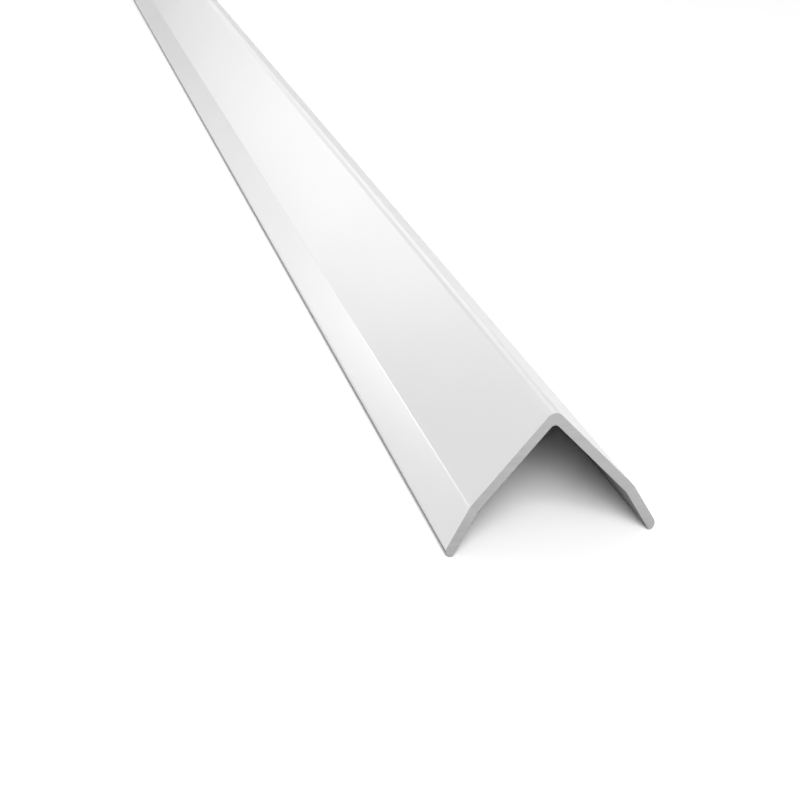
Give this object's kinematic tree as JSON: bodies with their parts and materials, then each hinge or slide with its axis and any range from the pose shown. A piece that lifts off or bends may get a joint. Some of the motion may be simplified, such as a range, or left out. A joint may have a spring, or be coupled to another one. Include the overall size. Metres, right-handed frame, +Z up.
{
  "type": "aluminium edge trim",
  "caption": "Straight length of thin-walled white aluminium edge trim: a peaked angle section with rounded apex and inward-turned lips, for covering an outside corner.",
  "frame": {"origin": "middle of the length, midway between the two lip tips, on the floor the trim stands on", "axes": "+Z up through the apex, +Y along the length, +X across the section"},
  "size_m": [0.0322, 1, 0.021],
  "materials": {
    "coated_metal": "satin"
  },
  "bodies": {
    "root": {"edge_trim": "coated_metal"}
  },
  "joints": []
}
